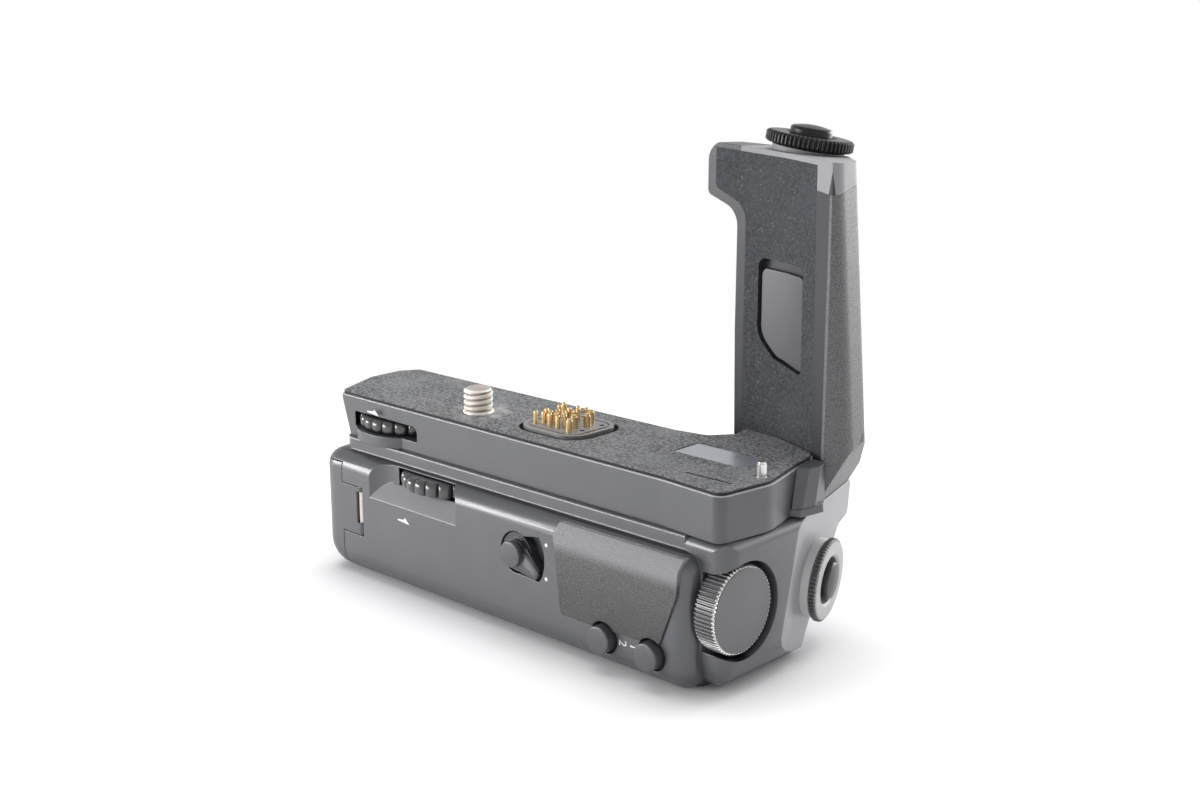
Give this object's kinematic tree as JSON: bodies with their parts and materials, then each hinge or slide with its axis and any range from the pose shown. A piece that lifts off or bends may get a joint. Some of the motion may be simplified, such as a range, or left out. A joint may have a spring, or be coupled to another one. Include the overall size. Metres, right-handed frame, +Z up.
{
  "type": "camera battery grip",
  "caption": "Battery grip for a mirrorless camera: holder block with dial, lock lever and battery door under a base with camera screw, pin connector and tall front handle.",
  "frame": {"origin": "mouth of the tripod socket on the underside, on the axis of the camera screw", "axes": "+X to the user's right along the camera, +Y towards the camera's front, +Z up along the camera screw"},
  "size_m": [0.1213, 0.0617, 0.1043],
  "materials": {
    "case": "fine satin black",
    "cover": "matte black",
    "skin": "grained leatherette",
    "sheet": "speckled textured sheet",
    "dark": "matte black",
    "dial": "black anodised, knurled",
    "cap": "turned and anodised",
    "gold": "gold plated",
    "steel": "machined",
    "screw": "blackened",
    "board": "circuit board",
    "gear": "moulded acetal",
    "plate": "bare label plate"
  },
  "bodies": {
    "holder": {"holder_case": "case", "holder_top_plate": "cover", "holder_bottom_cover": "cover", "bottom_screws": "screw", "tripod_insert": "steel", "thumb_rest": "skin", "finger_leather": "skin", "holder_contact_block": "dark", "holder_contact_pins": "gold", "main_board": "board", "battery_contacts": "gold", "hinge_pin": "steel", "jack_cover": "dark"},
    "rear_dial": {"rear_dial": "dial", "rear_dial_cap": "cap", "rear_dial_axle": "steel"},
    "lock_lever": {"lock_lever": "dark", "lever_knob": "dark"},
    "button_1": {"function_button_1": "dark"},
    "button_2": {"function_button_2": "dark"},
    "portrait_dial": {"portrait_dial": "dial"},
    "portrait_shutter": {"portrait_shutter": "dark"},
    "holder_wheel": {"holder_lock_wheel": "dark", "holder_screw": "steel"},
    "battery_door": {"battery_door": "case", "door_seal": "skin"},
    "door_latch": {"door_latch": "dark"},
    "camera_grip": {"grip_base_case": "case", "grip_base_floor": "cover", "floor_screws": "screw", "base_sheet": "sheet", "label_plate": "plate", "contact_block": "dark", "contact_gasket": "skin", "contact_pins": "gold", "power_pins": "gold", "guide_pin": "steel", "bearing_plate": "steel", "bearing_screws": "steel", "grip_socket": "steel", "wheel_post": "steel", "idler_stud": "steel", "grip_contact_pads": "gold", "handle_case": "case", "handle_leather": "skin", "handle_sheet": "sheet", "handle_pad": "dark", "handle_cap": "case"},
    "camera_wheel": {"camera_lock_wheel": "dark", "wheel_gear": "gear"},
    "idler": {"idler_gear": "gear"},
    "camera_screw": {"camera_screw": "steel", "screw_gear": "gear"},
    "top_dial": {"grip_dial": "dial"},
    "top_shutter": {"grip_shutter": "dark"}
  },
  "joints": [
    {"name": "holder_detach", "type": "slide", "parent": "holder", "child": "camera_grip", "axis": [0, 0, 1], "range_m": [0, 0.02]},
    {"name": "rear_dial_turn", "type": "hinge", "parent": "holder", "child": "rear_dial", "pos_m": [0.074, -0.0038, 0.0168], "axis": [1, 0, 0], "continuous": true},
    {"name": "lock_lever_turn", "type": "hinge", "parent": "holder", "child": "lock_lever", "pos_m": [0.0254, -0.0136, 0.0183], "axis": [0, -1, 0], "range_deg": [0, 46]},
    {"name": "button_1_press", "type": "slide", "parent": "holder", "child": "button_1", "axis": [0, 1, 0], "range_m": [0, 0.0007], "stiffness_N_per_m": 900},
    {"name": "button_2_press", "type": "slide", "parent": "holder", "child": "button_2", "axis": [0, 1, 0], "range_m": [0, 0.0007], "stiffness_N_per_m": 900},
    {"name": "portrait_dial_turn", "type": "hinge", "parent": "holder", "child": "portrait_dial", "pos_m": [0.0735, 0.0235, 0.0152], "axis": [0.9595, 0.2751, -0.061], "continuous": true},
    {"name": "portrait_shutter_press", "type": "slide", "parent": "holder", "child": "portrait_shutter", "axis": [-0.9595, -0.2751, 0.061], "range_m": [0, 0.001], "stiffness_N_per_m": 700},
    {"name": "holder_wheel_turn", "type": "hinge", "parent": "holder", "child": "holder_wheel", "pos_m": [-0.0048, -0.0026, 0.025], "axis": [0, 0, 1], "continuous": true},
    {"name": "battery_door_swing", "type": "hinge", "parent": "holder", "child": "battery_door", "pos_m": [-0.026, -0.01235, 0.0155], "axis": [0, 0, 1], "range_deg": [0, 100]},
    {"name": "door_latch_slide", "type": "slide", "parent": "battery_door", "child": "door_latch", "axis": [0, -1, 0], "range_m": [0, 0.003]},
    {"name": "camera_wheel_turn", "type": "hinge", "parent": "camera_grip", "child": "camera_wheel", "pos_m": [-0.024, 0.0017, 0.035], "axis": [0, 0, 1], "continuous": true},
    {"name": "idler_turn", "type": "hinge", "parent": "camera_grip", "child": "idler", "pos_m": [-0.01014, 0.0037, 0.038], "axis": [0, 0, 1], "continuous": true},
    {"name": "camera_screw_turn", "type": "hinge", "parent": "camera_grip", "child": "camera_screw", "pos_m": [0, 0, 0.038], "axis": [0, 0, 1], "continuous": true},
    {"name": "top_dial_turn", "type": "hinge", "parent": "camera_grip", "child": "top_dial", "pos_m": [0.059, 0.0366, 0.0978], "axis": [0.1185, 0.1048, 0.9874], "continuous": true},
    {"name": "top_shutter_press", "type": "slide", "parent": "camera_grip", "child": "top_shutter", "axis": [-0.1185, -0.1048, -0.9874], "range_m": [0, 0.001], "stiffness_N_per_m": 700}
  ],
  "couplings": [
    {"joint": "idler_turn", "follows": "camera_wheel_turn", "ratio": -1.6923},
    {"joint": "camera_screw_turn", "follows": "camera_wheel_turn", "ratio": 1.5714}
  ]
}
